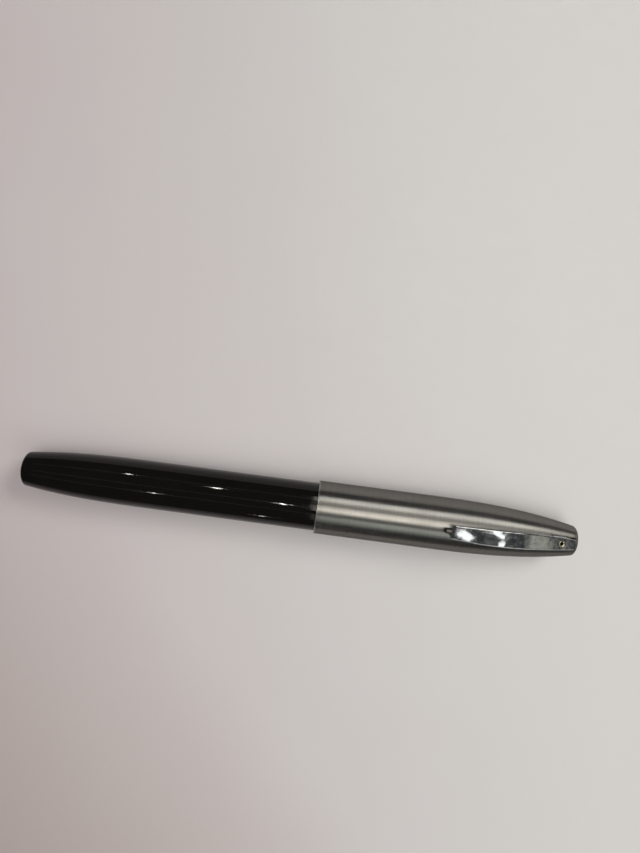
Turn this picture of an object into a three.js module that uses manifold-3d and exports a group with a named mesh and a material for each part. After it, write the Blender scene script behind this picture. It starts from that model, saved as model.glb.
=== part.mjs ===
// A refillable brush pen: black barrel, brushed steel push-on cap with a sprung clip, bristle tip and screw
// converter. Lengths are millimetres. Stations run along the pen's axis from the tail (0) to the cap's end, and
// outlines are [station, radius] pairs. The group at the end places the pen on its side, clip up, centred over
// the origin.
import * as THREE from "three";
import { mergeVertices } from "three/addons/utils/BufferGeometryUtils.js";
import Module from "manifold-3d";

const wasm = await Module();
wasm.setup();

// Driving dimensions.
const PEN_LENGTH = 136;
const CAP_RADIUS = 6.5;
const CAP_END_RADIUS = 3.5; // where the cap's curve would meet its end plane
const CAP_MOUTH = 72.3;
const CAP_CURVE_START = 100;
const CAP_CURVE_POWER = 2.58;
const CAP_WALL = 0.45;
const CAP_CORNER = 1.25;
const BARREL_RADIUS = 5.9;
const BARREL_TAIL_RADIUS = 4.15;
const BARREL_CURVE_END = 35;
const BARREL_CURVE_POWER = 3.1;
const BARREL_WALL = 1.3;
const BARREL_BORE = 4.6;
const BARREL_MOUTH = 75;
const TAIL_CORNER = 0.95;
const TAIL_WALL = 2.4;
const GRIP_START = 80.5;
const GRIP_END = 105.2;
const THREAD_RADIUS = 4.6;
const THREAD_DEPTH = 0.3;
const THREAD_PITCH = 1;
const SPIGOT_RADIUS = 4.25;
const SPIGOT_BORE = 4.32;
const FEED_BORE = 3.5;
const NOSE_BORE = 2.95;
const TUFT_TIP = 124;
const INNER_CAP_START = 99.5;
const INNER_CAP_END = 126;
const CLIP_START = 104.5;
const CLIP_END = 134.6;
const CLIP_TAPER_START = 103.6; // where the curve of its width begins, a little beyond the free end
const CLIP_SHEET = 0.5;
const CLIP_DEPTH = 1.4; // from the face to the lower edge of the folded sides
const CLIP_LIFT = 0.2; // between that edge and the cap
const PIVOT_STATION = 132.85;
const PIVOT_HEIGHT = 2.2;
const PIN_RADIUS = 0.45;
const RIVET_STATION = 131.3;
const SLOT_START = 128.7;
const SLOT_END = 135.05;
const SLOT_GAP = 0.25;

// The cap lies on its lowest flat, so it has fewer and wider flats than the other shells.
const CAP_SIDES = 20;
const SHELL_SIDES = 32;
const CORE_SIDES = 24;
const CORNER_STEPS = 4;
const CURVE_STEPS = 9;

const BLACK = { color: 0x0b0b0b, roughness: 0.12, metalness: 0 };
const BRUSHED = { color: 0x9b9890, roughness: 0.35, metalness: 1 };
const CHROME = { color: 0xc9ccce, roughness: 0.08, metalness: 1 };
const BRASS = { color: 0xb59a58, roughness: 0.25, metalness: 1 };
const SPRING_STEEL = { color: 0x8f9194, roughness: 0.3, metalness: 1 };
const DARK_PLASTIC = { color: 0x1c1c1e, roughness: 0.45, metalness: 0 };
const MILKY_PLASTIC = { color: 0xd9d8d2, roughness: 0.4, metalness: 0 };
const CLEAR_PLASTIC = { color: 0xdfe6e6, roughness: 0.1, metalness: 0, transparent: true, opacity: 0.35 };
const RUBBER = { color: 0x141414, roughness: 0.7, metalness: 0 };
const BRISTLE = { color: 0xe6e0d0, roughness: 0.55, metalness: 0 };
const FIBRE = { color: 0xeeeae0, roughness: 0.9, metalness: 0 };

const pen = new THREE.Group();
pen.position.set(-PEN_LENGTH / 2, 0, CAP_RADIUS);

function add(name, geometry, material) {
  const mesh = new THREE.Mesh(geometry, new THREE.MeshStandardMaterial(material));
  mesh.name = name;
  pen.add(mesh);
}

// ---- Shapes ----

// A round solid about the pen's axis. The outline starts and ends on the axis, or closes on itself. The middle of
// each flat lies at the stated radius, with flats facing straight up, down and sideways.
function turned(outline, sides = CORE_SIDES) {
  const spread = 1 / Math.cos(Math.PI / sides);
  const points = outline.map(([station, radius]) => new THREE.Vector2(radius * spread, station));
  if (outline[0][1] > 0) points.push(points[0].clone());
  if (THREE.ShapeUtils.area(points) < 0) points.reverse();
  return new THREE.LatheGeometry(points, sides).rotateY(Math.PI / sides).rotateZ(-Math.PI / 2);
}

function tube(start, end, outer, inner, sides) {
  return turned([[start, outer], [end, outer], [end, inner], [start, inner]], sides);
}

function rod(start, end, radius, sides) {
  return turned([[start, 0], [start, radius], [end, radius], [end, 0]], sides);
}

// Points on a rounded corner, with angles in degrees from the station axis towards the radius axis.
function corner(station, radius, size, from, to) {
  return Array.from({ length: CORNER_STEPS + 1 }, (_, i) => {
    const a = THREE.MathUtils.degToRad(from + ((to - from) * i) / CORNER_STEPS);
    return [station + size * Math.cos(a), radius + size * Math.sin(a)];
  });
}

// Evenly spaced points on a curve given as radius by station.
function along(from, to, steps, radiusAt) {
  return Array.from({ length: steps + 1 }, (_, i) => {
    const station = from + ((to - from) * i) / steps;
    return [station, radiusAt(station)];
  });
}

// A flat outline in the pen's middle plane, as [station, height] pairs, given a width across the pen.
function plate(outline, halfWidth, offset = 0) {
  const shape = new THREE.Shape(outline.map(([station, height]) => new THREE.Vector2(station, height)));
  return new THREE.ExtrudeGeometry(shape, { depth: 2 * halfWidth, bevelEnabled: false, curveSegments: 1 })
    .rotateX(Math.PI / 2)
    .translate(0, halfWidth + offset, 0);
}

function block(x0, x1, y0, y1, z0, z1) {
  return new THREE.BoxGeometry(x1 - x0, y1 - y0, z1 - z0).translate((x0 + x1) / 2, (y0 + y1) / 2, (z0 + z1) / 2);
}

function crossRod(station, height, radius, halfLength) {
  return new THREE.CylinderGeometry(radius, radius, 2 * halfLength, CORE_SIDES).translate(station, 0, height);
}

function solid(geometry) {
  const bare = new THREE.BufferGeometry().setAttribute("position", geometry.getAttribute("position").clone());
  if (geometry.index) bare.setIndex(geometry.index.clone());
  const merged = mergeVertices(bare, 1e-4);
  return new wasm.Manifold(
    new wasm.Mesh({
      numProp: 3,
      vertProperties: merged.attributes.position.array,
      triVerts: new Uint32Array(merged.index.array),
    }),
  );
}

function geometryOf(manifold) {
  const mesh = manifold.getMesh();
  return new THREE.BufferGeometry()
    .setAttribute("position", new THREE.BufferAttribute(mesh.vertProperties, 3))
    .setIndex(new THREE.BufferAttribute(mesh.triVerts, 1));
}

// ---- Outer curves ----

function capRadius(station) {
  const t = Math.max(0, station - CAP_CURVE_START) / (PEN_LENGTH - CAP_CURVE_START);
  return CAP_RADIUS - (CAP_RADIUS - CAP_END_RADIUS) * t ** CAP_CURVE_POWER;
}

function barrelRadius(station) {
  const t = Math.max(0, 1 - station / BARREL_CURVE_END);
  return BARREL_RADIUS - (BARREL_RADIUS - BARREL_TAIL_RADIUS) * t ** BARREL_CURVE_POWER;
}

// ---- Barrel ----

function barrelShell() {
  const cornerRadius = barrelRadius(TAIL_CORNER);
  const insertSeat = 5.1;
  const insertDepth = 8.5;
  const boreTaperStart = 26;
  return turned(
    [
      [0, 0],
      ...corner(TAIL_CORNER, cornerRadius - TAIL_CORNER, TAIL_CORNER, 180, 100),
      ...along(2.5, BARREL_CURVE_END, CURVE_STEPS, barrelRadius),
      [BARREL_MOUTH - 0.2, BARREL_RADIUS],
      [BARREL_MOUTH, BARREL_RADIUS - 0.2],
      [BARREL_MOUTH, insertSeat],
      [BARREL_MOUTH - insertDepth, insertSeat],
      [BARREL_MOUTH - insertDepth, BARREL_BORE],
      [boreTaperStart, BARREL_BORE],
      ...along(18, TAIL_WALL + 0.8, 4, (station) => barrelRadius(station) - BARREL_WALL),
      [TAIL_WALL, barrelRadius(TAIL_WALL) - BARREL_WALL - 0.8],
      [TAIL_WALL, 0],
    ],
    SHELL_SIDES,
  );
}

function barrelParts() {
  add("barrel_shell", barrelShell(), BLACK);
  add("barrel_thread_insert", tube(66.8, 74.8, 5.04, THREAD_RADIUS + 0.1, SHELL_SIDES), BRASS);
  const trimOutline = [
    [75.15, 5.7],
    [75.35, BARREL_RADIUS],
    [76.15, BARREL_RADIUS],
    [76.35, 5.7],
    [76.35, THREAD_RADIUS + 0.12],
    [75.15, THREAD_RADIUS + 0.12],
  ];
  add("trim_ring", turned(trimOutline, SHELL_SIDES), CHROME);
}

// ---- Grip section ----

// The threaded metal sleeve that joins the barrel to the grip. Its front spigot is glued into the grip.
function threadConnector() {
  const bore = 3.9;
  const threadStart = 67.4;
  const turns = 6;
  const root = THREAD_RADIUS - THREAD_DEPTH;
  const ridges = Array.from({ length: turns }, (_, i) => {
    const at = threadStart + i * THREAD_PITCH;
    return [
      [at, root],
      [at + 0.35, THREAD_RADIUS],
      [at + 0.6, THREAD_RADIUS],
      [at + 0.95, root],
    ];
  }).flat();
  return turned([
    [67, root],
    ...ridges,
    [76.45, root],
    [76.45, 5.3],
    [77.2, 5.3],
    [77.2, SPIGOT_RADIUS],
    [84, SPIGOT_RADIUS],
    [84, FEED_BORE],
    [78.5, FEED_BORE],
    [78.5, bore],
    [67, bore],
  ]);
}

// The polished ring that the cap's spring fingers grip.
function clutchRing() {
  return turned(
    [
      [77.3, 5.35],
      [77.5, 5.45],
      [78.4, 5.45],
      [78.7, 5.2],
      [79.3, 5.2],
      [79.6, 5.45],
      [80.2, 5.45],
      [80.4, 5.35],
      [80.4, SPIGOT_BORE],
      [77.3, SPIGOT_BORE],
    ],
    SHELL_SIDES,
  );
}

function gripSection() {
  return turned(
    [
      [GRIP_START, 5.2],
      [GRIP_START + 0.2, 5.35],
      [86, 5.18],
      [92, 4.86],
      [98, 4.5],
      [102, 4.35],
      [103.4, 4.42],
      [104.3, 4.6],
      [104.9, 4.5],
      [GRIP_END, 4.15],
      [GRIP_END, NOSE_BORE],
      [98.8, NOSE_BORE],
      [98.8, FEED_BORE],
      [84.3, FEED_BORE],
      [84.3, SPIGOT_BORE],
      [GRIP_START, SPIGOT_BORE],
    ],
    SHELL_SIDES,
  );
}

// The comb feed: a nipple for the converter, a flange, and fins that hold ink back round a wick.
function feed() {
  const wickBore = 0.8;
  const shaft = 1.9;
  const finRadius = 3.35;
  const finPitch = 1.3;
  const finWidth = 0.6;
  const fins = Array.from({ length: 12 }, (_, i) => {
    const at = 82.4 + i * finPitch;
    return [
      [at, shaft],
      [at, finRadius],
      [at + finWidth, finRadius],
      [at + finWidth, shaft],
    ];
  }).flat();
  return turned([
    [73, wickBore],
    [73, 1.5],
    [73.5, 1.7],
    [78.8, 1.7],
    [78.8, 3.4],
    [81, 3.4],
    [81, shaft],
    ...fins,
    [98.6, shaft],
    [98.6, wickBore],
  ]);
}

function ferrule() {
  const inner = 2.45;
  return turned([
    [99, 2.85],
    [105.6, 2.85],
    [105.8, 2.7],
    [106.1, 2.7],
    [106.3, 2.85],
    [107.4, 2.85],
    [107.8, 2.7],
    [107.8, inner],
    [99, inner],
  ]);
}

function tuft() {
  const root = 2.35;
  const belly = 2.5;
  return turned([
    [99.9, 0],
    [99.9, root],
    [107.8, root],
    [109.5, belly],
    [112, 2.42],
    [115, 2.08],
    [118, 1.55],
    [121, 0.88],
    [123.2, 0.3],
    [TUFT_TIP, 0],
  ]);
}

function gripParts() {
  add("thread_connector", threadConnector(), BRASS);
  add("clutch_ring", clutchRing(), CHROME);
  add("grip_section", gripSection(), BLACK);
  add("comb_feed", feed(), DARK_PLASTIC);
  add("feed_wick", rod(73.1, 99.6, 0.7, 12), FIBRE);
  add("brush_ferrule", ferrule(), CHROME);
  add("bristle_tuft", tuft(), BRISTLE);
}

// ---- Cap ----

function capShell() {
  const innerEnd = PEN_LENGTH - 0.6;
  const body = turned(
    [
      [CAP_MOUTH, CAP_RADIUS - 0.12],
      [CAP_MOUTH + 0.12, CAP_RADIUS],
      [CAP_CURVE_START, CAP_RADIUS],
      ...along(104, PEN_LENGTH - 1.6, CURVE_STEPS, capRadius),
      ...corner(PEN_LENGTH - CAP_CORNER, capRadius(135) - CAP_CORNER, CAP_CORNER, 60, 0),
      [PEN_LENGTH, 0],
      [innerEnd, 0],
      [innerEnd, 2.4],
      ...along(134.6, 104, CURVE_STEPS, (station) => capRadius(station) - CAP_WALL),
      [CAP_MOUTH + 0.2, CAP_RADIUS - CAP_WALL],
      [CAP_MOUTH, CAP_RADIUS - CAP_WALL + 0.12],
    ],
    CAP_SIDES,
  );
  const slotFloor = 1.9;
  const slot = clipPlan(SLOT_START, SLOT_END, -SLOT_GAP).translate(0, 0, slotFloor);
  return geometryOf(solid(body).subtract(solid(slot)));
}

// A spring sleeve inside the cap. Slits divide its rear into fingers, and a bump on each one drops into the clutch
// ring.
function capClutch() {
  const outer = CAP_RADIUS - CAP_WALL - 0.07;
  const inner = outer - 0.22;
  const bump = 5.56;
  const fingers = 6;
  const slitHalfWidth = 0.5;
  const sleeve = turned(
    [
      [76.8, outer],
      [90, outer],
      [90, inner],
      [80.2, inner],
      [79.4, bump],
      [78.6, bump],
      [77.8, inner],
      [76.8, inner],
    ],
    SHELL_SIDES,
  );
  const slit = () => solid(block(76, 86.5, -slitHalfWidth, slitHalfWidth, 4.5, CAP_RADIUS));
  const cut = Array.from({ length: fingers }).reduce(
    (rest, _, i) => rest.subtract(slit().rotate([(360 / fingers) * (i + 0.5), 0, 0])),
    solid(sleeve),
  );
  return geometryOf(cut);
}

// The liner that seals the tip. Its step at the end of the wide bore meets the grip's front face.
function innerCap() {
  const gap = 0.12;
  const outer = (station) => capRadius(station) - CAP_WALL - gap;
  return turned(
    [
      ...along(INNER_CAP_START, INNER_CAP_END, 6, outer),
      [INNER_CAP_END, 0],
      [124.6, 0],
      [124.6, 1.6],
      [118, 3.6],
      [112, 4.1],
      [105.4, 4.1],
      [105.4, 4.95],
      [INNER_CAP_START, 4.95],
    ],
    SHELL_SIDES,
  );
}

// A disc behind the liner with two arms that carry the clip's pin.
function clipBracket() {
  const disc = rod(126.3, 127.2, 4.4);
  const arm = (side) => block(127, 134.2, side * 1.6 - 0.22, side * 1.6 + 0.22, -1.5, 2.72);
  const hole = crossRod(PIVOT_STATION, PIVOT_HEIGHT, PIN_RADIUS + 0.03, 3);
  const joined = solid(disc).add(solid(arm(1))).add(solid(arm(-1)));
  return geometryOf(joined.subtract(solid(hole)));
}

// A compression spring between the bracket's disc and the clip's lever.
function clipSpring() {
  const start = 127.35;
  const end = 131.95;
  const turns = 4.5;
  const radius = 0.95;
  const height = -0.4;
  class Coil extends THREE.Curve {
    getPoint(t, target = new THREE.Vector3()) {
      const angle = 2 * Math.PI * turns * t;
      const x = start + (end - start) * t;
      return target.set(x, radius * Math.sin(angle), height + radius * Math.cos(angle));
    }
  }
  const wire = new THREE.Shape().absarc(0, 0, 0.18, 0, 2 * Math.PI, false);
  const path = new Coil();
  return new THREE.ExtrudeGeometry(wire, { steps: 54, curveSegments: 3, bevelEnabled: false, extrudePath: path });
}

function capParts() {
  add("cap_shell", capShell(), BRUSHED);
  add("cap_clutch", capClutch(), SPRING_STEEL);
  add("inner_cap", innerCap(), MILKY_PLASTIC);
  add("clip_bracket", clipBracket(), SPRING_STEEL);
  add("clip_pin", crossRod(PIVOT_STATION, PIVOT_HEIGHT, PIN_RADIUS, 1.9), SPRING_STEEL);
  add("clip_spring", clipSpring(), SPRING_STEEL);
}

// ---- Clip ----

// The clip's outer face seen from the side: it climbs from the cap's end, bows over the cap and dips to its tip.
const clipFace = new THREE.CatmullRomCurve3(
  [
    [CLIP_START, 8.11],
    [106, 8.3],
    [109.5, 8.62],
    [113, 8.75],
    [117, 8.5],
    [122, 7.68],
    [127, 6.5],
    [131, 5.52],
    [CLIP_END, 4.66],
  ].map(([station, height]) => new THREE.Vector3(station, 0, height)),
);

function clipHalfWidth(station) {
  const t = (station - CLIP_TAPER_START) / (CLIP_END - CLIP_TAPER_START);
  return 1.6 + 1.95 * t - 2.3 * t * t;
}

// Points on the clip's face from its tip to the cap's end, lowered by a depth.
function clipLine(depth, inset = 0) {
  const steps = 16;
  return Array.from({ length: steps + 1 }, (_, i) => {
    const p = clipFace.getPoint(i / steps);
    const station = Math.min(Math.max(p.x, CLIP_START + inset), CLIP_END - inset);
    return [station, p.z - depth];
  });
}

// The lower edge of the folded sides. It stays off the cap until the slot takes it in.
function clipSkirt() {
  return clipLine(CLIP_DEPTH).map(([station, height]) => {
    if (station < SLOT_START + 0.5) return [station, Math.max(height, capRadius(station) + CLIP_LIFT)];
    return [station, height + CLIP_LIFT];
  });
}

// The clip seen from above, as a block of its tapering width that trims the clip or cuts its slot.
function clipPlan(start, end, inset) {
  const steps = 10;
  const stations = Array.from({ length: steps + 1 }, (_, i) => start + ((end - start) * i) / steps);
  const near = stations.map((station) => new THREE.Vector2(station, -(clipHalfWidth(station) - inset)));
  const far = stations.map((station) => new THREE.Vector2(station, clipHalfWidth(station) - inset)).reverse();
  return new THREE.ExtrudeGeometry(new THREE.Shape([...near, ...far]), { depth: 10, bevelEnabled: false });
}

function clip() {
  const side = plate([...clipLine(0), ...clipSkirt().reverse()], 3);
  const outer = solid(side).intersect(solid(clipPlan(CLIP_START, CLIP_END, 0)));
  const pocketTop = clipLine(CLIP_SHEET, CLIP_SHEET);
  const pocket = solid(plate([...pocketTop, [CLIP_END - CLIP_SHEET, 2], [CLIP_START + CLIP_SHEET, 2]], 3));
  const nub = new THREE.CapsuleGeometry(0.62, 2.6, 3, 12).rotateZ(Math.PI / 2).translate(104.7, 0, 7.27);
  const rivetHole = new THREE.CylinderGeometry(0.8, 0.8, 3, CORE_SIDES).rotateX(Math.PI / 2);
  rivetHole.translate(RIVET_STATION, 0, 5.4);
  const inside = clipPlan(CLIP_START + CLIP_SHEET, CLIP_END - CLIP_SHEET, CLIP_SHEET);
  const shell = outer.subtract(pocket.intersect(solid(inside)));
  return geometryOf(shell.add(solid(nub)).subtract(solid(rivetHole)));
}

// The hidden lever: a tongue under the clip, an eye for the pin and a leg that the spring pushes.
function clipLever() {
  const tongue = plate(
    [
      [129.6, 5.05],
      [133.9, 4.02],
      [133.75, 3.5],
      [129.45, 4.53],
    ],
    0.8,
  );
  const leg = block(132.45, 133.3, -0.8, 0.8, -1.4, 4);
  const eye = crossRod(PIVOT_STATION, PIVOT_HEIGHT, 0.95, 0.8);
  const pinHole = crossRod(PIVOT_STATION, PIVOT_HEIGHT, PIN_RADIUS + 0.05, 2);
  const rivetHole = new THREE.CylinderGeometry(0.42, 0.42, 3, CORE_SIDES).rotateX(Math.PI / 2);
  rivetHole.translate(RIVET_STATION, 0, 4.4);
  const body = solid(tongue).add(solid(leg)).add(solid(eye));
  return geometryOf(body.subtract(solid(pinHole)).subtract(solid(rivetHole)));
}

// A small eyelet through the clip and the lever, with a dished head that sits just below the clip's face.
function clipRivet() {
  const dish = 0.34;
  const profile = [
    [0, 3.75],
    [0.36, 3.75],
    [0.36, 4.8],
    [0.72, 4.95],
    [0.74, 5.3],
    [0.55, 5.3],
    [dish, 5.02],
    [0, 4.95],
  ].map(([radius, height]) => new THREE.Vector2(radius, height));
  return new THREE.LatheGeometry(profile, 16).rotateX(Math.PI / 2).translate(RIVET_STATION, 0, 0);
}

function clipParts() {
  add("clip", clip(), CHROME);
  add("clip_lever", clipLever(), SPRING_STEEL);
  add("clip_rivet", clipRivet(), BRASS);
}

// ---- Converter ----

// The clear ink chamber, with a thick mouth that pushes over the feed's nipple.
function converterTube() {
  const outer = 3.65;
  const chamber = 3.05;
  const mouthBore = 1.78;
  return turned([
    [42.5, outer],
    [69.6, outer],
    [70.2, 3.8],
    [77, 3.8],
    [77.4, 3.5],
    [77.4, mouthBore],
    [72.8, mouthBore],
    [72.4, chamber],
    [42.5, chamber],
  ]);
}

function converterCollar() {
  const outer = 4;
  const inner = 3.72;
  const lip = 2.2;
  return turned([
    [27, 3.8],
    [27.2, outer],
    [46.3, outer],
    [46.5, 3.85],
    [46.5, inner],
    [28.4, inner],
    [28.4, lip],
    [27, lip],
  ]);
}

function flattened(geometry, halfThickness) {
  return solid(geometry).intersect(solid(block(0, PEN_LENGTH, -halfThickness, halfThickness, -9, 9)));
}

// The bush whose flat-sided hole stops the piston's rod from turning.
function rodGuide() {
  const keyway = flattened(rod(39, 44, 1.25), 0.92);
  return geometryOf(solid(rod(40.2, 42.3, 3.62)).subtract(keyway));
}

// The nut that the knob turns. The collar's rear lip holds its flange.
function knobNut() {
  return turned([
    [20.2, 2.08],
    [28.6, 2.08],
    [28.6, 3.55],
    [30, 3.55],
    [30, 2.08],
    [39.9, 2.08],
    [39.9, 1.3],
    [20.2, 1.3],
  ]);
}

function converterKnob() {
  return turned([
    [17, 0],
    [17, 3],
    [17.4, 3.35],
    [26.4, 3.35],
    [26.7, 3.1],
    [26.7, 2.16],
    [20, 2.16],
    [20, 1.45],
    [18, 1.45],
    [18, 0],
  ]);
}

function pistonRod() {
  const shaft = flattened(rod(18.6, 47.6, 1.15), 0.82);
  return geometryOf(shaft.add(solid(rod(47.3, 48.5, 1.55))));
}

function pistonSeal() {
  const lip = 2.98;
  const waist = 2.7;
  return turned([
    [46.9, 1.7],
    [46.9, lip],
    [47.5, lip],
    [48, waist],
    [50.3, waist],
    [50.8, lip],
    [51.3, lip],
    [51.6, 2.3],
    [51.6, 0],
    [48.8, 0],
    [48.8, 1.7],
  ]);
}

function converterParts() {
  add("converter_tube", converterTube(), CLEAR_PLASTIC);
  add("converter_collar", converterCollar(), CHROME);
  add("rod_guide", rodGuide(), DARK_PLASTIC);
  add("knob_nut", knobNut(), BRASS);
  add("converter_knob", converterKnob(), DARK_PLASTIC);
  add("piston_rod", pistonRod(), DARK_PLASTIC);
  add("piston_seal", pistonSeal(), RUBBER);
}

barrelParts();
gripParts();
capParts();
clipParts();
converterParts();

export default pen;
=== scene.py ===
"""The brush pen's looks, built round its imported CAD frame.

Lengths are metres in the row frame. Outlines along the pen are (station, radius) pairs in millimetres, with
stations counted from the barrel's tail and radii from the pen's axis.
"""

import math
import random

import bmesh
import bpy
from mathutils import Matrix, Vector


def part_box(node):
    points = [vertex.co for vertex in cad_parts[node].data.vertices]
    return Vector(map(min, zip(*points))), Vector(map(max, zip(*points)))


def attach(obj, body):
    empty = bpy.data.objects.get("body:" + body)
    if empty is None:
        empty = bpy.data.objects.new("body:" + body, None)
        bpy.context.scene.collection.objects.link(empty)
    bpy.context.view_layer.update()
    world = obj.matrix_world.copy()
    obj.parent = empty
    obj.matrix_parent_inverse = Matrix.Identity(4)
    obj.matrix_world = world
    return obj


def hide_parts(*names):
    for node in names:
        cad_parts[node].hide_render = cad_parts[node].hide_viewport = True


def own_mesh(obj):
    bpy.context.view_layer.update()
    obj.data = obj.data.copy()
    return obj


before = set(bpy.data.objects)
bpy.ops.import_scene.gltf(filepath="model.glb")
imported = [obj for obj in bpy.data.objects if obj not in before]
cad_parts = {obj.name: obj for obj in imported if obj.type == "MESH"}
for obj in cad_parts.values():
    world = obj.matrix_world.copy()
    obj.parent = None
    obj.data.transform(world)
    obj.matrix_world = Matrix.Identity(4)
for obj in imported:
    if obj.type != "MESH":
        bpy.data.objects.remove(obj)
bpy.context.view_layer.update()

MM = 0.001
CAP_LOW, CAP_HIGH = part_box("cap_shell")
BARREL_LOW, BARREL_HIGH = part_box("barrel_shell")
AXIS_Z = (CAP_LOW.z + CAP_HIGH.z) / 2
TAIL_X = BARREL_LOW.x
PEN_LENGTH = (CAP_HIGH.x - TAIL_X) / MM
CAP_MOUTH = (CAP_LOW.x - TAIL_X) / MM
CAP_RADIUS = (CAP_HIGH.y - CAP_LOW.y) / 2 / MM
BARREL_MOUTH = (BARREL_HIGH.x - TAIL_X) / MM
BARREL_RADIUS = (BARREL_HIGH.y - BARREL_LOW.y) / 2 / MM

# Sizes and stations in millimetres, as in the CAD.
CAP_END_RADIUS = 3.5
CAP_CURVE_START = 100
CAP_CURVE_POWER = 2.58
CAP_WALL = 0.45
BARREL_TAIL_RADIUS = 4.15
BARREL_CURVE_END = 35
BARREL_CURVE_POWER = 3.1
BARREL_WALL = 1.3
SLOT_START = 128.7
SLOT_END = 135.05
SLOT_GAP = 0.25
RIVET_STATION = 131.3
THREAD_PITCH = 1
SCREW_PITCH = 2.5

SIDES = 144
ON_AXIS = 1e-6  # a radius in millimetres that counts as none


# ---- Camera ----

def add_camera():
    """The photo's camera, which looks nearly straight down. It was fitted to the pen's outline."""
    place = (0.0040, 0.0355, 0.1678)
    swing, lean, nod = -0.131, -0.009, 0.097
    bpy.context.scene.view_settings.view_transform = "Standard"
    data = bpy.data.cameras.new("camera")
    data.sensor_fit = "VERTICAL"
    data.sensor_height = 36
    data.lens = 28.07
    data.clip_start = 0.01
    camera = bpy.data.objects.new("camera", data)
    turn = Matrix.Rotation(swing, 3, "Z") @ Matrix.Rotation(lean, 3, "Y") @ Matrix.Rotation(nod, 3, "X")
    camera.matrix_world = Matrix.Translation(place) @ turn.transposed().to_4x4()
    bpy.context.scene.collection.objects.link(camera)
    bpy.context.scene.camera = camera


# ---- Mesh helpers ----

def new_object(name, mesh):
    data = bpy.data.meshes.new(name)
    bmesh.ops.recalc_face_normals(mesh, faces=mesh.faces)
    mesh.to_mesh(data)
    mesh.free()
    obj = bpy.data.objects.new(name, data)
    bpy.context.scene.collection.objects.link(obj)
    return obj


def smooth(obj, sharp_angle=50):
    """Shades obj smooth, apart from edges sharper than an angle in degrees."""
    obj.data.shade_smooth()
    obj.data.set_sharp_from_angle(angle=math.radians(sharp_angle))
    weighted = obj.modifiers.new("weighted_normals", "WEIGHTED_NORMAL")
    weighted.keep_sharp = True
    return obj


def apply_modifiers(obj):
    done = bpy.data.meshes.new_from_object(obj.evaluated_get(bpy.context.evaluated_depsgraph_get()))
    obj.modifiers.clear()
    obj.data = done


def cut(obj, tool):
    """Cuts tool's solid out of obj and deletes tool."""
    boolean = obj.modifiers.new("cut", "BOOLEAN")
    boolean.operation = "DIFFERENCE"
    boolean.solver = "EXACT"
    boolean.object = tool
    apply_modifiers(obj)
    bpy.data.objects.remove(tool)


def even_angles(count):
    return [2 * math.pi * i / count for i in range(count)]


def bridge(mesh, ring, other):
    """Faces between two rings of vertices. One may be a single point, and two single points get no face."""
    count = max(len(ring), len(other))
    if count == 1:
        return
    for i in range(count):
        j = (i + 1) % count
        corners = [ring[i % len(ring)], ring[j % len(ring)], other[j % len(other)], other[i % len(other)]]
        mesh.faces.new(list(dict.fromkeys(corners)))


def place_at(station, radius, angle, height=0):
    """A point of the row frame, from a station, radius and height in millimetres and an angle from +Z."""
    y = radius * MM * math.sin(angle)
    return (TAIL_X + station * MM, y, AXIS_Z + (height + radius * math.cos(angle)) * MM)


def skin(mesh, rings, capped=True):
    """Faces along a row of rings, closed at both ends if capped."""
    for ring, other in zip(rings, rings[1:]):
        bridge(mesh, ring, other)
    if capped:
        mesh.faces.new(rings[0])
        mesh.faces.new(rings[-1])


def plain(station, angle, radius):
    return radius


def revolve(name, outline, sides=SIDES, radius_at=plain):
    """A solid turned about the pen's axis. radius_at(station, angle, radius) can shape it, as for a thread.

    An outline that starts off the axis closes on itself.
    """
    mesh = bmesh.new()
    rings = []
    for station, radius in outline:
        angles = even_angles(sides if radius > ON_AXIS else 1)
        rings.append([mesh.verts.new(place_at(station, radius_at(station, a, radius), a)) for a in angles])
    if outline[0][1] > ON_AXIS:
        rings.append(rings[0])
    skin(mesh, rings, capped=False)
    return new_object(name, mesh)


def rounded(outline, size):
    """The outline with each clear corner rounded off by up to size."""
    steps = 3
    closed = outline[0][1] > ON_AXIS
    points = [Vector(p) for p in outline]
    made = []
    for i, p in enumerate(points):
        if not closed and i in (0, len(points) - 1):
            made.append(tuple(p))
            continue
        before = points[i - 1]
        after = points[(i + 1) % len(points)]
        into, out = p - before, after - p
        if into.angle(out, 0) < math.radians(25):
            made.append(tuple(p))
            continue
        start = p - into.normalized() * min(size, 0.4 * into.length)
        end = p + out.normalized() * min(size, 0.4 * out.length)
        for k in range(steps + 1):
            t = k / steps
            made.append(tuple(start * (1 - t) ** 2 + 2 * p * t * (1 - t) + end * t * t))
    return made


def outline_of(node):
    """The outline of a turned CAD node, read from the meridian nearest to +Z."""
    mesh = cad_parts[node].data
    places = [(v.co.x, v.co.y, v.co.z - AXIS_Z) for v in mesh.vertices]
    radii = [math.hypot(y, z) for _, y, z in places]
    angles = [abs(math.atan2(y, z)) for _, y, z in places]
    meridian = min(a for a, r in zip(angles, radii) if r > 0.1 * MM)
    points = {}
    for i, (x, y, _) in enumerate(places):
        centred = radii[i] < 0.01 * MM
        if centred or (y > 0 and abs(angles[i] - meridian) < 1e-3):
            # The CAD's flats lie at the stated radius, and its corners beyond it.
            radius = 0 if centred else radii[i] * math.cos(meridian) / MM
            points[i] = (round((x - TAIL_X) / MM, 3), round(radius, 3))
    # The mesh's edges link these points, and a walk along the links puts them in order.
    links = {p: set() for p in points.values()}
    for edge in mesh.edges:
        a, b = (points.get(i) for i in edge.vertices)
        if a and b and a != b and max(a[1], b[1]) > 0:
            links[a].add(b)
            links[b].add(a)
    ends = [p for p in sorted(links) if len(links[p]) == 1]
    walk = [ends[0] if ends else min(links)]
    while len(walk) < len(links):
        onward = [p for p in sorted(links[walk[-1]]) if p not in walk]
        if not onward:
            break
        walk.append(onward[0])
    return walk


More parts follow.
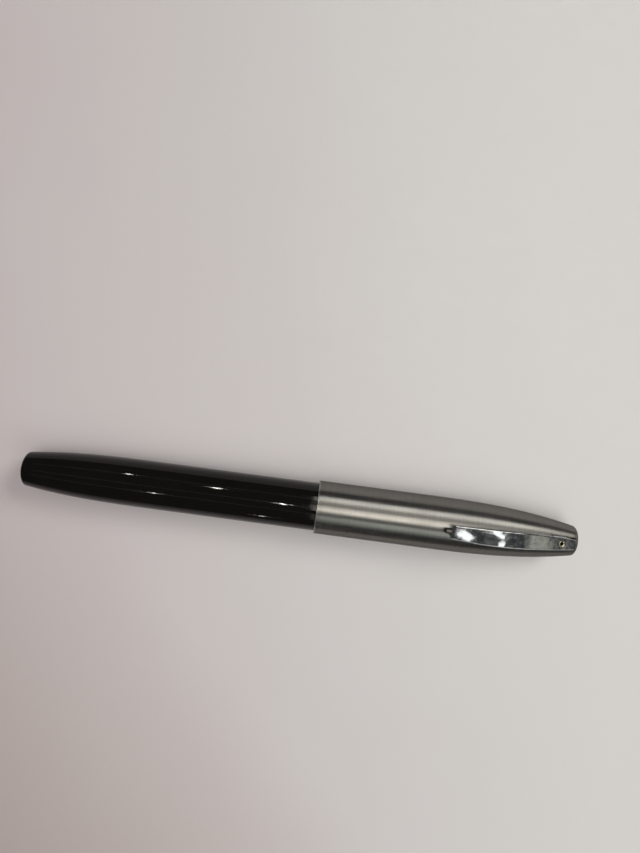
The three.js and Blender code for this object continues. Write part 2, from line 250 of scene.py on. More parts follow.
def spaced(outline, start, end, step):
    """The outline with extra points at even steps wherever it runs between two stations."""
    made = []
    for (s0, r0), (s1, r1) in zip(outline, outline[1:]):
        made.append((s0, r0))
        if start <= min(s0, s1) and max(s0, s1) <= end:
            count = max(1, int(abs(s1 - s0) / step))
            made += [(s0 + (s1 - s0) * k / count, r0 + (r1 - r0) * k / count) for k in range(1, count)]
    return made + [outline[-1]]


def turned_piece(name, node, body, material, size, radius_at=plain, outline=None, sides=SIDES):
    """A fine turned piece that stands for a CAD node, with its corners rounded off by size."""
    obj = revolve(name, rounded(outline or outline_of(node), size), sides, radius_at)
    return finish_piece(smooth(obj), node, body, material)


def finish_piece(obj, node, body, material):
    """Gives obj its material and body, and puts it in place of a CAD node."""
    obj.data.materials.clear()
    obj.data.materials.append(material)
    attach(obj, body)
    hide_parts(node)
    return obj


# ---- Materials ----

class Finish:
    """A Principled material with short ways to add object-space texture to it."""

    def __init__(self, name, **values):
        self.material = bpy.data.materials.new(name)
        self.material.use_nodes = True
        self.tree = self.material.node_tree
        self.shader = self.tree.nodes["Principled BSDF"]
        for key, value in values.items():
            self.shader.inputs[key.replace("_", " ")].default_value = value
        self.place = self.tree.nodes.new("ShaderNodeTexCoord").outputs["Object"]

    def node(self, kind, links=None, **settings):
        made = self.tree.nodes.new(kind)
        for key, value in settings.items():
            setattr(made, key, value)
        for key, value in (links or {}).items():
            self.link(value, made.inputs[key])
        return made

    def link(self, source, socket):
        if isinstance(source, bpy.types.NodeSocket):
            self.tree.links.new(source, socket)
        else:
            socket.default_value = source

    def noise(self, size, detail=3, rough=0.6):
        """Noise whose features are about size millimetres, or (x, y, z) millimetres, across."""
        sizes = size if isinstance(size, tuple) else (size,) * 3
        scale = tuple(1 / (s * MM) for s in sizes)
        scaled = self.node("ShaderNodeMapping", {"Vector": self.place, "Scale": scale})
        made = self.node("ShaderNodeTexNoise", {"Vector": scaled.outputs[0], "Scale": 1, "Detail": detail})
        made.inputs["Roughness"].default_value = rough
        return made.outputs["Fac"]

    def specks(self, size, share):
        """1 in round specks about size millimetres apart, 0 elsewhere. A speck's radius is share of that."""
        scaled = self.node("ShaderNodeMapping", {"Vector": self.place, "Scale": (1 / (size * MM),) * 3})
        cells = self.node("ShaderNodeTexVoronoi", {"Vector": scaled.outputs[0], "Scale": 1})
        return self.remap(cells.outputs["Distance"], share, share * 0.6, 0, 1)

    def remap(self, value, low, high, to_low, to_high):
        inputs = {"Value": value, "From Min": low, "From Max": high, "To Min": to_low, "To Max": to_high}
        return self.node("ShaderNodeMapRange", inputs).outputs["Result"]

    def maths(self, operation, a, b):
        return self.node("ShaderNodeMath", {0: a, 1: b}, operation=operation).outputs[0]

    def mix(self, factor, a, b):
        made = self.node("ShaderNodeMix", data_type="RGBA")
        self.link(factor, made.inputs["Factor"])
        self.link(a, made.inputs["A"])
        self.link(b, made.inputs["B"])
        return made.outputs["Result"]

    def along(self, low, high):
        """0 to 1 as the station along the pen goes from low to high, in millimetres."""
        x = self.node("ShaderNodeSeparateXYZ", {0: self.place}).outputs["X"]
        return self.remap(x, TAIL_X + low * MM, TAIL_X + high * MM, 0, 1)

    def set(self, key, source):
        self.link(source, self.shader.inputs[key])

    def bump(self, height, depth, before=None):
        """Bump of a depth in millimetres from a height of 0 to 1."""
        made = self.node("ShaderNodeBump", {"Height": height, "Distance": depth * MM, "Strength": 1})
        if before is not None:
            self.link(before, made.inputs["Normal"])
        self.set("Normal", made.outputs["Normal"])
        return made.outputs["Normal"]

    def lengthwise(self):
        """Turns the shader's anisotropy so that highlights stretch along the pen."""
        axis = self.node("ShaderNodeCombineXYZ", {"X": 1, "Y": 0, "Z": 0})
        self.set("Tangent", axis.outputs[0])


def black_resin():
    f = Finish("black_resin", Roughness=0.1, Anisotropic=0.15, IOR=1.5, Specular_IOR_Level=0.25)
    f.lengthwise()
    polish = f.noise((0.25, 9, 9), 4)
    scuffs = f.noise((14, 0.3, 0.3), 3)
    cloud = f.noise(6)
    f.set("Base Color", f.mix(cloud, (0.0025, 0.0023, 0.0018, 1), (0.005, 0.0045, 0.0034, 1)))
    gloss = f.remap(polish, 0.3, 0.7, 0.025, 0.06)
    f.set("Roughness", f.maths("ADD", gloss, f.remap(scuffs, 0.6, 0.8, 0, 0.05)))
    first = f.bump(polish, 0.0006)
    second = f.bump(f.noise(4, 1), 0.012, first)
    f.bump(f.specks(1.7, 0.045), 0.004, second)
    return f.material


def brushed_steel():
    f = Finish("brushed_steel", Metallic=1, Anisotropic=0.8, Specular_Tint=(0.5, 0.5, 0.5, 1))
    f.lengthwise()
    fine = f.noise((0.14, 7, 7), 3, 0.7)
    broad = f.noise((0.7, 12, 12), 3, 0.7)
    cloud = f.noise(9, 2)
    lines = f.maths("ADD", f.maths("MULTIPLY", fine, 0.6), f.maths("MULTIPLY", broad, 0.4))
    tone = f.mix(f.remap(lines, 0.35, 0.65, 0, 1), (0.17, 0.166, 0.155, 1), (0.215, 0.21, 0.197, 1))
    # Painted highlight: the mouth's chamfer is coloured a paler steel, so it reads as a bright line.
    lip = f.along(CAP_MOUTH + 0.35, CAP_MOUTH + 0.15)
    f.set("Base Color", f.mix(lip, tone, (0.4, 0.39, 0.37, 1)))
    grain = f.remap(lines, 0.3, 0.7, 0.28, 0.38)
    f.set("Roughness", f.maths("ADD", grain, f.remap(cloud, 0.3, 0.7, -0.03, 0.04)))
    f.bump(lines, 0.0008)
    return f.material


def chrome():
    f = Finish("chrome", Metallic=1)
    smudge = f.noise(1.6, 4, 0.65)
    hair = f.noise((3, 0.09, 0.5), 2)
    clean = f.remap(smudge, 0.35, 0.65, 0, 1)
    f.set("Base Color", f.mix(clean, (0.34, 0.36, 0.38, 1), (0.62, 0.63, 0.62, 1)))
    gloss = f.remap(smudge, 0.4, 0.7, 0.04, 0.14)
    f.set("Roughness", f.maths("ADD", gloss, f.remap(hair, 0.62, 0.75, 0, 0.12)))
    first = f.bump(f.noise(2.4, 1), 0.016)
    f.bump(hair, 0.0004, first)
    return f.material


def metal(name, dark, light, rough=(0.2, 0.35)):
    f = Finish(name, Metallic=1)
    lines = f.noise((0.15, 2, 2), 3)
    tarnish = f.noise(1.5, 4)
    tone = f.maths("MULTIPLY", f.maths("ADD", lines, tarnish), 0.5)
    f.set("Base Color", f.mix(tone, (*dark, 1), (*light, 1)))
    f.set("Roughness", f.remap(tarnish, 0.3, 0.7, *rough))
    f.bump(lines, 0.002)
    return f.material


def eyelet_brass():
    """Pale brass for the clip's eyelet, with painted shade colouring the inside of its hollow near black."""
    f = Finish("eyelet_brass", Metallic=1)
    middle = (TAIL_X + RIVET_STATION * MM, 0, 0)
    across = f.node("ShaderNodeVectorMath", {0: f.place, 1: middle}, operation="SUBTRACT")
    level = f.node("ShaderNodeVectorMath", {0: across.outputs[0], 1: (1, 1, 0)}, operation="MULTIPLY")
    radius = f.node("ShaderNodeVectorMath", {0: level.outputs[0]}, operation="LENGTH").outputs["Value"]
    # Painted shade: inside this radius the hollow is coloured near black.
    rim = f.remap(radius, 0.4 * MM, 0.5 * MM, 0, 1)
    wear = f.noise(0.3, 3)
    pale = f.mix(wear, (0.6, 0.53, 0.36, 1), (0.82, 0.76, 0.56, 1))
    f.set("Base Color", f.mix(rim, (0.035, 0.03, 0.022, 1), pale))
    f.set("Roughness", f.remap(wear, 0.3, 0.7, 0.12, 0.28))
    f.bump(wear, 0.002)
    return f.material


def plastic(name, dark, light, rough=(0.35, 0.5), **values):
    f = Finish(name, IOR=1.5, **values)
    mottle = f.noise(2.5, 4)
    grain = f.noise(0.08, 2)
    f.set("Base Color", f.mix(mottle, (*dark, 1), (*light, 1)))
    f.set("Roughness", f.remap(mottle, 0.3, 0.7, *rough))
    f.bump(grain, 0.002)
    return f.material


def bristle():
    f = Finish("bristle", IOR=1.54)
    strand = f.noise((6, 0.12, 0.12), 2)
    tip = f.along(112, 123)
    body = f.mix(strand, (0.55, 0.40, 0.24, 1), (0.78, 0.64, 0.44, 1))
    f.set("Base Color", f.mix(tip, body, (0.16, 0.085, 0.04, 1)))
    f.set("Roughness", f.remap(strand, 0.3, 0.7, 0.32, 0.5))
    f.bump(f.noise((0.3, 0.05, 0.05), 2), 0.003)
    return f.material


# ---- Outer curves ----

def cap_radius(station):
    t = max(0, station - CAP_CURVE_START) / (PEN_LENGTH - CAP_CURVE_START)
    return CAP_RADIUS - (CAP_RADIUS - CAP_END_RADIUS) * t**CAP_CURVE_POWER


def barrel_radius(station):
    t = max(0, 1 - station / BARREL_CURVE_END)
    return BARREL_RADIUS - (BARREL_RADIUS - BARREL_TAIL_RADIUS) * t**BARREL_CURVE_POWER


def line(start, end, count, radius_at):
    """Outline points at even steps between two stations."""
    stations = [start + (end - start) * i / count for i in range(count + 1)]
    return [(s, radius_at(s)) for s in stations]


def corner(station, radius, size, start, end, steps=8):
    """Outline points on an arc of radius size about a point, between two angles in degrees."""
    angles = [math.radians(start + (end - start) * i / steps) for i in range(steps + 1)]
    return [(station + size * math.cos(a), radius + size * math.sin(a)) for a in angles]


# ---- Barrel ----

def make_barrel(material):
    edge = 0.95
    shoulder = barrel_radius(edge) - edge
    seat = 5.1
    seat_end = BARREL_MOUTH - 8.5
    bore = 4.6
    bottom = 2.4
    outline = [
        (0, 0),
        *corner(edge, shoulder, edge, 180, 96),
        *line(1.6, BARREL_CURVE_END, 40, barrel_radius),
        *line(40, BARREL_MOUTH - 0.25, 8, barrel_radius),
        *corner(BARREL_MOUTH - 0.2, BARREL_RADIUS - 0.2, 0.2, 90, 0, 4),
        (BARREL_MOUTH, seat),
        (seat_end, seat),
        (seat_end, bore),
        (26, bore),
        *line(18, bottom + 0.8, 8, lambda s: barrel_radius(s) - BARREL_WALL),
        (bottom, barrel_radius(bottom) - BARREL_WALL - 0.8),
        (bottom, 0),
    ]
    return finish_piece(smooth(revolve("barrel", outline)), "barrel_shell", "barrel", material)


# ---- Cap ----

def clip_half_width(station):
    t = (station - CLIP_TAPER_START) / (CLIP_END - CLIP_TAPER_START)
    return 1.6 + 1.95 * t - 2.3 * t * t


def slot_tool():
    """The block that cuts the clip's slot out of the cap."""
    low = 1.9
    high = 8
    mesh = bmesh.new()
    rings = []
    for station, half in line(SLOT_START, SLOT_END, 8, lambda s: clip_half_width(s) + SLOT_GAP):
        x = TAIL_X + station * MM
        corners = [(-half, low), (half, low), (half, high), (-half, high)]
        rings.append([mesh.verts.new((x, y * MM, AXIS_Z + z * MM)) for y, z in corners])
    skin(mesh, rings)
    return new_object("slot_tool", mesh)


def make_cap(material):
    edge = 1.25
    shoulder = cap_radius(PEN_LENGTH - edge) - edge
    inner_end = PEN_LENGTH - 0.6
    lip = 0.16
    outline = [
        *corner(CAP_MOUTH + lip, CAP_RADIUS - lip, lip, 180, 90, 5),
        *line(CAP_MOUTH + 1, CAP_CURVE_START, 14, cap_radius),
        *line(CAP_CURVE_START + 1, PEN_LENGTH - 1.7, 40, cap_radius),
        *corner(PEN_LENGTH - edge, shoulder, edge, 66, 0, 8),
        (PEN_LENGTH, 0),
        (inner_end, 0),
        (inner_end, 2.4),
        *line(134.6, CAP_CURVE_START, 20, lambda s: cap_radius(s) - CAP_WALL),
        (CAP_MOUTH + 0.3, CAP_RADIUS - CAP_WALL),
        (CAP_MOUTH, CAP_RADIUS - CAP_WALL + 0.12),
    ]
    obj = revolve("cap", outline)
    cut(obj, slot_tool())
    return finish_piece(smooth(obj, 35), "cap_shell", "cap", material)


# ---- Clip ----

# Sizes, stations and heights over the pen's axis in millimetres, as in the CAD.
CLIP_START = 104.5
CLIP_TAPER_START = 103.6
CLIP_END = (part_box("clip")[1].x - TAIL_X) / MM
CLIP_SHEET = 0.5
CLIP_DEPTH = 1.4
CLIP_LIFT = 0.2
NUB_STATION = 104.7
NUB_HEIGHT = 7.27
# Points of the clip's face: station and height.
CLIP_FACE = [
    (CLIP_START, 8.11),
    (106, 8.3),
    (109.5, 8.62),
    (113, 8.745),
    (117, 8.5),
    (122, 7.68),
    (127, 6.5),
    (131, 5.52),
    (CLIP_END, 4.66),
]


def clip_height(station):
    """The height of the clip's face over the pen's axis: a smooth curve through the face's points."""
    k = max(i for i in range(len(CLIP_FACE) - 1) if CLIP_FACE[i][0] <= station + 1e-9)
    (x0, h0), (x1, h1) = CLIP_FACE[k], CLIP_FACE[k + 1]
    before = CLIP_FACE[max(k - 1, 0)]
    after = CLIP_FACE[min(k + 2, len(CLIP_FACE) - 1)]
    slope0 = (h1 - before[1]) / (x1 - before[0])
    slope1 = (after[1] - h0) / (after[0] - x0)
    t = (station - x0) / (x1 - x0)
    span = x1 - x0
    return (
        h0 * (2 * t**3 - 3 * t**2 + 1)
        + slope0 * span * (t**3 - 2 * t**2 + t)
        + h1 * (3 * t**2 - 2 * t**3)
        + slope1 * span * (t**3 - t**2)
    )


def clip_solid(name, start, end, inset, top_drop, bottom_at, bevel):
    """A bar along the clip's face, inset from its sides, with a crowned top and bevelled long edges."""
    mesh = bmesh.new()
    rings = []
    crown = 0.03
    for station, half in line(start, end, 60, lambda s: clip_half_width(s) - inset):
        top = clip_height(station) - top_drop
        flat = half - bevel
        section = [(-half, bottom_at(station)), (-half, top - crown - bevel)]
        for share in (-1, -0.95, -0.6, -0.3, 0, 0.3, 0.6, 0.95, 1):
            y = flat * share
            section.append((y, top - crown * (y / half) ** 2))
        section += [(half, top - crown - bevel), (half, bottom_at(station))]
        x = TAIL_X + station * MM
        rings.append([mesh.verts.new((x, y * MM, AXIS_Z + z * MM)) for y, z in section])
    skin(mesh, rings)
    return new_object(name, mesh)


def clip_skirt(station):
    """The lower edge of the clip's folded sides, clear of the cap until the slot takes it in."""
    low = clip_height(station) - CLIP_DEPTH
    return max(low, cap_radius(station) + CLIP_LIFT) if station < SLOT_START + 0.5 else low + CLIP_LIFT


def rivet_hole():
    """The upright rod that cuts the eyelet's hole out of the clip."""
    radius = 0.8 * MM
    mesh = bmesh.new()
    middle = Matrix.Translation(place_at(RIVET_STATION, 0, 0, 5.4))
    bmesh.ops.create_cone(
        mesh, cap_ends=True, segments=48, radius1=radius, radius2=radius, depth=3 * MM, matrix=middle
    )
    return new_object("rivet_hole", mesh)


def make_clip(material):
    obj = clip_solid("clip", CLIP_START, CLIP_END, 0, 0, clip_skirt, 0.2)
    inside = clip_solid(
        "clip_inside",
        CLIP_START + CLIP_SHEET,
        CLIP_END - CLIP_SHEET,
        CLIP_SHEET,
        CLIP_SHEET,
        lambda s: 1,
        0.15,
    )
    cut(obj, inside)
    cut(obj, rivet_hole())
    bevel = obj.modifiers.new("bevel", "BEVEL")
    bevel.width = 0.07 * MM
    bevel.segments = 3
    bevel.limit_method = "ANGLE"
    bevel.angle_limit = math.radians(35)
    apply_modifiers(obj)
    return finish_piece(smooth(obj, 60), "clip", "clip", material)


def make_nub(material):
    """The small ball-ended stud under the clip's free end."""
    mesh = bmesh.new()
    bmesh.ops.create_uvsphere(mesh, u_segments=32, v_segments=20, radius=0.62 * MM)
    half = 1.3 * MM
    middle = Vector(place_at(NUB_STATION, 0, 0, NUB_HEIGHT))
    for v in mesh.verts:
        v.co = Vector((v.co.z, v.co.x, v.co.y))
        v.co.x += half if v.co.x > 0 else -half
        v.co += middle
    obj = smooth(new_object("clip_nub", mesh))
    obj.data.materials.append(material)
    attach(obj, "clip")
    return obj


def make_rivet(material):
    """An eyelet: a rolled rim round a hollow, set across the clip's slope."""
    profile = [
        (0, -1.55),
        (0.39, -1.55),
        (0.44, -0.45),
        (0.70, -0.32),
        (0.735, -0.1),
        (0.70, -0.02),
        (0.62, 0),
        (0.53, -0.03),
        (0.46, -0.12),
        (0.41, -0.3),
        (0.36, -1.3),
        (0, -1.4),
    ]
    mesh = bmesh.new()
    rings = []
    for radius, height in profile:
        angles = even_angles(48 if radius else 1)
        points = [Vector((radius * math.cos(a), radius * math.sin(a), height)) * MM for a in angles]
        rings.append([mesh.verts.new(p) for p in points])
    skin(mesh, rings, capped=False)
    slope = math.atan(clip_height(RIVET_STATION - 0.5) - clip_height(RIVET_STATION + 0.5))
    sunk = 0.14
    place = Matrix.Translation(place_at(RIVET_STATION, 0, 0, clip_height(RIVET_STATION) - sunk))
    bmesh.ops.transform(mesh, matrix=place @ Matrix.Rotation(slope, 4, "Y"), verts=mesh.verts)
    return finish_piece(smooth(new_object("clip_eyelet", mesh)), "clip_rivet", "clip", material)


# ---- Stage and lights ----

def add_floor():
    """A plain pale floor, pinker to the left, with painted shade darkening it to the left and a painted
    shadow in the near left corner, as in the photo.
    """
    mesh = bmesh.new()
    bmesh.ops.create_grid(mesh, x_segments=1, y_segments=1, size=3)
    floor = new_object("floor", mesh)
    f = Finish("floor", IOR=1.45)
    place = f.node("ShaderNodeSeparateXYZ", {0: f.place})
    slant = f.maths("ADD", place.outputs["X"], f.maths("MULTIPLY", place.outputs["Y"], 0.35))
    uneven = f.maths("ADD", slant, f.remap(f.noise(70, 2), 0.3, 0.7, -0.02, 0.02))
    side = f.remap(uneven, -0.1, 0.08, 0, 1)
    # The left side is pinker in tone and darker by painted shade.
    tone = f.mix(side, (0.495, 0.44, 0.435, 1), (0.54, 0.53, 0.51, 1))
    # Painted shadow: the near left corner is coloured darker.
    near_corner_shade = f.remap(f.maths("ADD", place.outputs["X"], place.outputs["Y"]), -0.18, -0.06, 0, 1)
    f.set("Base Color", f.mix(near_corner_shade, (0.38, 0.325, 0.305, 1), tone))
    f.set("Roughness", f.remap(f.noise(3, 3), 0.3, 0.7, 0.5, 0.6))
    f.bump(f.noise(0.6, 3), 0.004)
    floor.data.materials.append(f.material)


def add_lamp(name, place, size, radiance, color=(1, 1, 1), mirrored=True, turn=0):
    """A flat lamp of a width and length in metres that faces the pen, with its glow set per unit of its area.

    A mirrored one shows only in polished and brushed surfaces. The others light the floor and matt pieces.
    """
    data = bpy.data.lights.new(name, "AREA")
    data.shape = "RECTANGLE"
    data.size, data.size_y = size
    data.energy = radiance * math.pi * size[0] * size[1]
    data.color = color
    lamp = bpy.data.objects.new(name, data)
    lamp.visible_glossy = mirrored
    lamp.visible_diffuse = not mirrored
    way = Vector((0, 0, 0.01)) - Vector(place)
    if mirrored:
        way.x = 0
    facing = way.to_track_quat("-Z", "Y").to_matrix().to_4x4()
    lamp.matrix_world = Matrix.Translation(place) @ facing @ Matrix.Rotation(math.radians(turn), 4, "Z")
    bpy.context.scene.collection.objects.link(lamp)


def polar(zenith, distance, x):
    """A place over the pen at a zenith angle in degrees towards +Y."""
    a = math.radians(zenith)
    return (x, distance * math.sin(a), distance * math.cos(a))


def add_lights():
    """A dim world, soft lamps for the floor, and mirrored ones for each reflection in the photo."""
    world = bpy.data.worlds.new("world")
    bpy.context.scene.world = world
    world.use_nodes = True
    back = world.node_tree.nodes["Background"]
    back.inputs["Color"].default_value = (0.98, 0.97, 1, 1)
    back.inputs["Strength"].default_value = 0.08
    warm = (1, 0.955, 0.88)
    green = (0.93, 1, 0.93)
    add_lamp("ceiling", (0.1, 0.1, 1.7), (1.3, 1.3), 3.35, (1, 0.985, 0.985), mirrored=False)
    add_lamp("room", (1.0, 0.8, 1.1), (0.6, 0.6), 13.4, (1, 0.99, 0.97), mirrored=False)
    add_lamp("fill", (0.15, -0.15, 0.3), (0.2, 0.2), 2, (1, 1, 0.98), mirrored=False)
    # Long panels over the cap, which its brushed face spreads into bands. They glow more over its mouth.
    # The barrel doesn't mirror them, because they lie past its end.
    middle = 0.42
    length = 0.84
    panels = [
        ("overhead", 6, 0.46, 4.2, 1.5, warm),
        ("between", 30, 0.3, 1.05, 0.6, warm),
        ("window", 50, 0.34, 4, 1.3, (1, 0.98, 0.94)),
    ]
    for name, zenith, width, radiance, extra, color in panels:
        add_lamp(name, polar(zenith, 1.0, middle), (length, width), radiance, color)
        add_lamp(f"{name}_near", polar(zenith, 0.99, 0.1), (0.2, width), extra, color)
    add_lamp("low_fill", polar(-36, 1.0, middle), (length, 0.42), 1.2, green)
    add_lamp("low_fill_far", polar(-33, 0.98, 0.4), (0.5, 0.3), 0.9, green)
    add_lamp("low_strip", polar(-53, 1.0, middle), (length, 0.04), 1.7, (0.92, 1, 0.95))
    # Panes that the clip mirrors, from its free end to its root.
    add_lamp("pane_end", (0.08, -0.235, 0.97), (0.11, 0.075), 2.2, turn=-30)
    add_lamp("pane_hump_high", (0.465, -0.195, 0.98), (0.2, 0.045), 2.4, turn=-16)
    add_lamp("pane_hump_low", (0.525, -0.295, 0.95), (0.1, 0.045), 2.6)
    right = 1.1
    for i, left in enumerate((0.86, 0.93, 1.0)):
        place = ((left + right) / 2, -0.3, 0.95 + 0.01 * i)
        add_lamp(f"pane_root_{i}", place, (right - left, 0.3), 0.14, (1, 1, 0.84))
    add_lamp("pane_pin", (1.2, -0.27, 0.95), (0.18, 0.06), 0.16, (1, 0.93, 0.82))
    # Small lamps whose glints lie along the barrel, and thin ones that draw streaks between them.
    spots = [
        ((-0.387, 0.867, 0.77), 80),
        ((-0.2, 0.722, 0.955), 120),
        ((-0.063, 0.087, 1.21), 190),
        ((-0.319, -0.505, 1.063), 70),
        ((-0.102, -1.145, 0.367), 40),
    ]
    for i, (place, radiance) in enumerate(spots):
        add_lamp(f"spot_{i}", place, (0.013, 0.07), radiance, warm)
    for zenith in (47, 4, -25.5):
        add_lamp(f"streak_{zenith}", polar(zenith, 1.1, -0.3), (1.2, 0.008), 2.5, warm)


# ---- Hidden pieces ----

def thread(depth, start, end, band, pitch=THREAD_PITCH):
    """Moves radii within band in a one-start helical groove between two stations. Its ends fade out."""

    def radius_at(station, angle, radius):
        if not (start < station < end and band[0] <= radius <= band[1]):
            return radius
        phase = (station / pitch - angle / (2 * math.pi)) % 1
        fade = min(1, (station - start) / 0.6, (end - station) / 0.6)
        ridge = min(1, max(0, 2.2 * abs(2 * phase - 1) - 0.5))
        return radius - depth * fade * (1 - ridge)

    return radius_at


def between_flats(radius_at, half, widest):
    """Brings radii up to widest in to two flats, half apart from the axis."""

    def cut_back(station, angle, radius):
        shaped = radius_at(station, angle, radius)
        return min(shaped, half / max(abs(math.sin(angle)), 1e-6)) if radius <= widest else shaped

    return cut_back


def fluted(station, angle, radius):
    """Grip flutes round the converter's knob."""
    flutes = 28
    inside = min(1, max(0, (station - 17.5) / 0.3), max(0, (26.3 - station) / 0.3))
    return radius - 0.16 * inside * max(0, math.cos(flutes * angle)) if radius > 3.2 else radius


def make_threads(brass, dark):
    """The pieces whose threads, flats and flutes the CAD leaves plain."""
    connector = [
        (67, 3.9),
        (67, 4.3),
        (67.4, 4.6),
        (73.4, 4.6),
        (73.8, 4.3),
        (76.45, 4.3),
        (76.45, 5.3),
        (77.2, 5.3),
        (77.2, 4.25),
        (84, 4.25),
        (84, 3.5),
        (78.5, 3.5),
        (78.5, 3.9),
    ]
    connector = spaced(rounded(connector, 0.06), 67.4, 73.4, 0.06)
    male = thread(0.28, 67.2, 73.8, (4.4, 4.7))
    turned_piece("connector_fine", "thread_connector", "grip", brass, 0.01, male, connector, 96)
    insert = [(66.8, 4.72), (66.8, 5.03), (74.8, 5.03), (74.8, 4.72)]
    insert = spaced(rounded(insert, 0.06) + [(66.9, 4.72)], 66.8, 74.8, 0.06)
    female = thread(-0.2, 67.2, 74.4, (4.6, 4.8))
    turned_piece("insert_fine", "barrel_thread_insert", "barrel_insert", brass, 0.01, female, insert, 96)
    knob = spaced(outline_of("converter_knob"), 17, 26.7, 0.3)
    turned_piece("knob_fine", "converter_knob", "knob", dark, 0.1, fluted, knob, 224)
    rod = [(18.6, 0), (18.6, 1.15), (47.3, 1.15), (47.3, 1.55), (48.5, 1.55), (48.5, 0)]
    screw = between_flats(thread(0.22, 19, 46, (1, 1.2), SCREW_PITCH), 0.82, 1.2)
    rod = spaced(rounded(rod, 0.06), 18.6, 47.3, 0.2)
    turned_piece("rod_fine", "piston_rod", "piston", dark, 0.01, screw, rod, 48)
    bush = [(40.2, 1.25), (40.2, 3.62), (42.3, 3.62), (42.3, 1.25)]
    flats = between_flats(plain, 0.92, 1.5)
    turned_piece("guide_fine", "rod_guide", "converter", dark, 0.06, flats, bush, 96)


TUFT_ROOT = 107.2
TUFT_TIP = 123.9
TUFT_SHAPE = [
    (99.9, 2.3),
    (107.8, 2.3),
    (109.5, 2.45),
    (112, 2.37),
    (115, 2.03),
    (118, 1.5),
    (121, 0.84),
    (124, 0.06),
]


def tuft_radius(station):
    for (s0, r0), (s1, r1) in zip(TUFT_SHAPE, TUFT_SHAPE[1:]):
        if station <= s1:
            return r0 + (r1 - r0) * (station - s0) / (s1 - s0)
    return TUFT_SHAPE[-1][1]


def make_tuft(material):
    """A tapered core under fine hairs that leave the ferrule together and end at different stations."""
    root = 100
    core = [(root, 0), *line(root, TUFT_TIP - 0.6, 30, lambda s: 0.93 * tuft_radius(s)), (TUFT_TIP - 0.4, 0)]
    body = revolve("tuft_core", core, 64)
    mesh = bmesh.new()
    mesh.from_mesh(body.data)
    bpy.data.objects.remove(body)
    chance = random.Random(7)
    hairs = 620
    corners = 4
    steps = 9
    for _ in range(hairs):
        angle = chance.uniform(0, 2 * math.pi)
        share = chance.uniform(0.9, 1.0)
        sway = chance.uniform(-0.12, 0.12)
        finish = TUFT_TIP - 7 * chance.random() ** 2.2
        thick = chance.uniform(0.045, 0.075)
        rings = []
        for k in range(steps + 1):
            t = k / steps
            station = TUFT_ROOT + (finish - TUFT_ROOT) * t
            turn = angle + sway * t * t
            size = thick * (1 - 0.85 * t**3)
            middle = max(0.01, share * tuft_radius(station) - size)
            x = TAIL_X + station * MM
            ring = []
            for a in even_angles(corners):
                away = middle + size * math.cos(a)
                aside = size * math.sin(a)
                y = away * math.sin(turn) + aside * math.cos(turn)
                z = away * math.cos(turn) - aside * math.sin(turn)
                ring.append(mesh.verts.new((x, y * MM, AXIS_Z + z * MM)))
            rings.append(ring)
        skin(mesh, rings)
    return finish_piece(smooth(new_object("tuft_hairs", mesh)), "bristle_tuft", "grip", material)


def make_spring(material):
    """The clip's coil spring."""
    start = 127.3
    end = 132.38
    turns = 5
    radius = 0.95
    height = -0.4
    wire = 0.17
    steps = 160
    corners = 10
    mesh = bmesh.new()
    rings = []
    for k in range(steps + 1):
        t = k / steps
        # The end turns lie flat, as on a ground compression spring.
        rise = min(1, max(0, (t * turns - 0.6) / (turns - 1.2)))
        station = start + wire + (end - start - 2 * wire) * rise
        turn = 2 * math.pi * turns * t
        ring = []
        for a in even_angles(corners):
            away = radius + wire * math.cos(a)
            ring.append(mesh.verts.new(place_at(station + wire * math.sin(a), away, turn, height)))
        rings.append(ring)
    skin(mesh, rings)
    coil = finish_piece(smooth(new_object("clip_coil", mesh), 60), "clip_spring", "cap", material)
    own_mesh(coil)


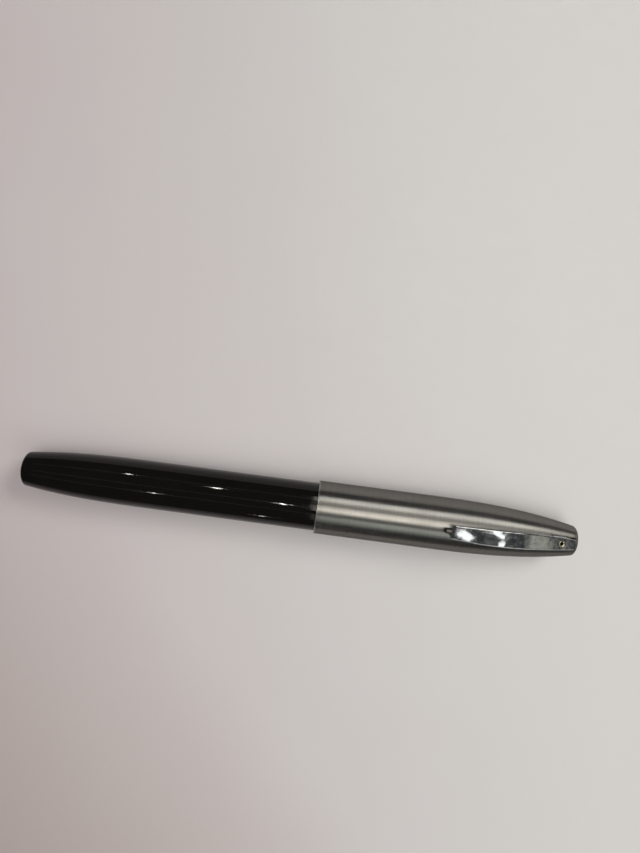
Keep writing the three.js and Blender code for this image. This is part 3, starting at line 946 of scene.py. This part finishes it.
def make_turned(plated, brass, black, dark, milky, clear, rubber, fibre):
    """The hidden pieces that keep their CAD outline."""
    turned_piece("trim_ring_fine", "trim_ring", "barrel_ring", plated, 0.08)
    turned_piece("clutch_ring_fine", "clutch_ring", "grip", plated, 0.08)
    turned_piece("grip_fine", "grip_section", "grip", black, 0.25)
    turned_piece("feed_fine", "comb_feed", "grip", dark, 0.05)
    turned_piece("wick_fine", "feed_wick", "grip", fibre, 0.1, sides=48)
    turned_piece("ferrule_fine", "brush_ferrule", "grip", plated, 0.08)
    turned_piece("inner_cap_fine", "inner_cap", "cap_liner", milky, 0.15)
    turned_piece("converter_tube_fine", "converter_tube", "converter", clear, 0.12)
    turned_piece("converter_collar_fine", "converter_collar", "converter", plated, 0.1)
    turned_piece("knob_nut_fine", "knob_nut", "knob", brass, 0.08)
    turned_piece("piston_seal_fine", "piston_seal", "piston", rubber, 0.1)


def soften_pressed(material):
    """The small pressed pieces keep their CAD shapes, with softened edges."""
    for node in ("cap_clutch", "clip_bracket", "clip_pin", "clip_lever"):
        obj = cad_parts[node]
        for material_slot in obj.material_slots:
            material_slot.material = material
        bevel = obj.modifiers.new("bevel", "BEVEL")
        bevel.width = 0.03 * MM
        bevel.segments = 2
        bevel.limit_method = "ANGLE"
        bevel.angle_limit = math.radians(40)


add_camera()
add_floor()
add_lights()
black = black_resin()
steel = brushed_steel()
bright = chrome()
brass = metal("brass", (0.42, 0.31, 0.13), (0.66, 0.53, 0.27))
plated = metal("plated", (0.55, 0.55, 0.54), (0.72, 0.72, 0.71), (0.08, 0.18))
spring = metal("spring_steel", (0.38, 0.38, 0.38), (0.55, 0.55, 0.55))
dark = plastic("dark_plastic", (0.012, 0.012, 0.013), (0.022, 0.022, 0.024))
milky = plastic("milky_plastic", (0.62, 0.61, 0.57), (0.7, 0.69, 0.65), Subsurface_Weight=0.3)
clear = plastic("clear_plastic", (0.9, 0.93, 0.93), (0.95, 0.97, 0.97), (0.03, 0.08), Transmission_Weight=1)
rubber = plastic("seal_rubber", (0.012, 0.012, 0.012), (0.02, 0.02, 0.02), (0.55, 0.7))
fibre = plastic("wick_fibre", (0.6, 0.57, 0.5), (0.75, 0.72, 0.66), (0.8, 0.9))
make_barrel(black)
make_cap(steel)
make_clip(bright)
# Painted shade: the nub's metal is near black, because it sits in shade under the clip's free end.
make_nub(metal("nub_chrome_painted_shade", (0.05, 0.044, 0.04), (0.12, 0.105, 0.095), (0.35, 0.5)))
make_rivet(eyelet_brass())
make_turned(plated, brass, black, dark, milky, clear, rubber, fibre)
make_threads(brass, dark)
make_tuft(bristle())
make_spring(spring)
soften_pressed(spring)
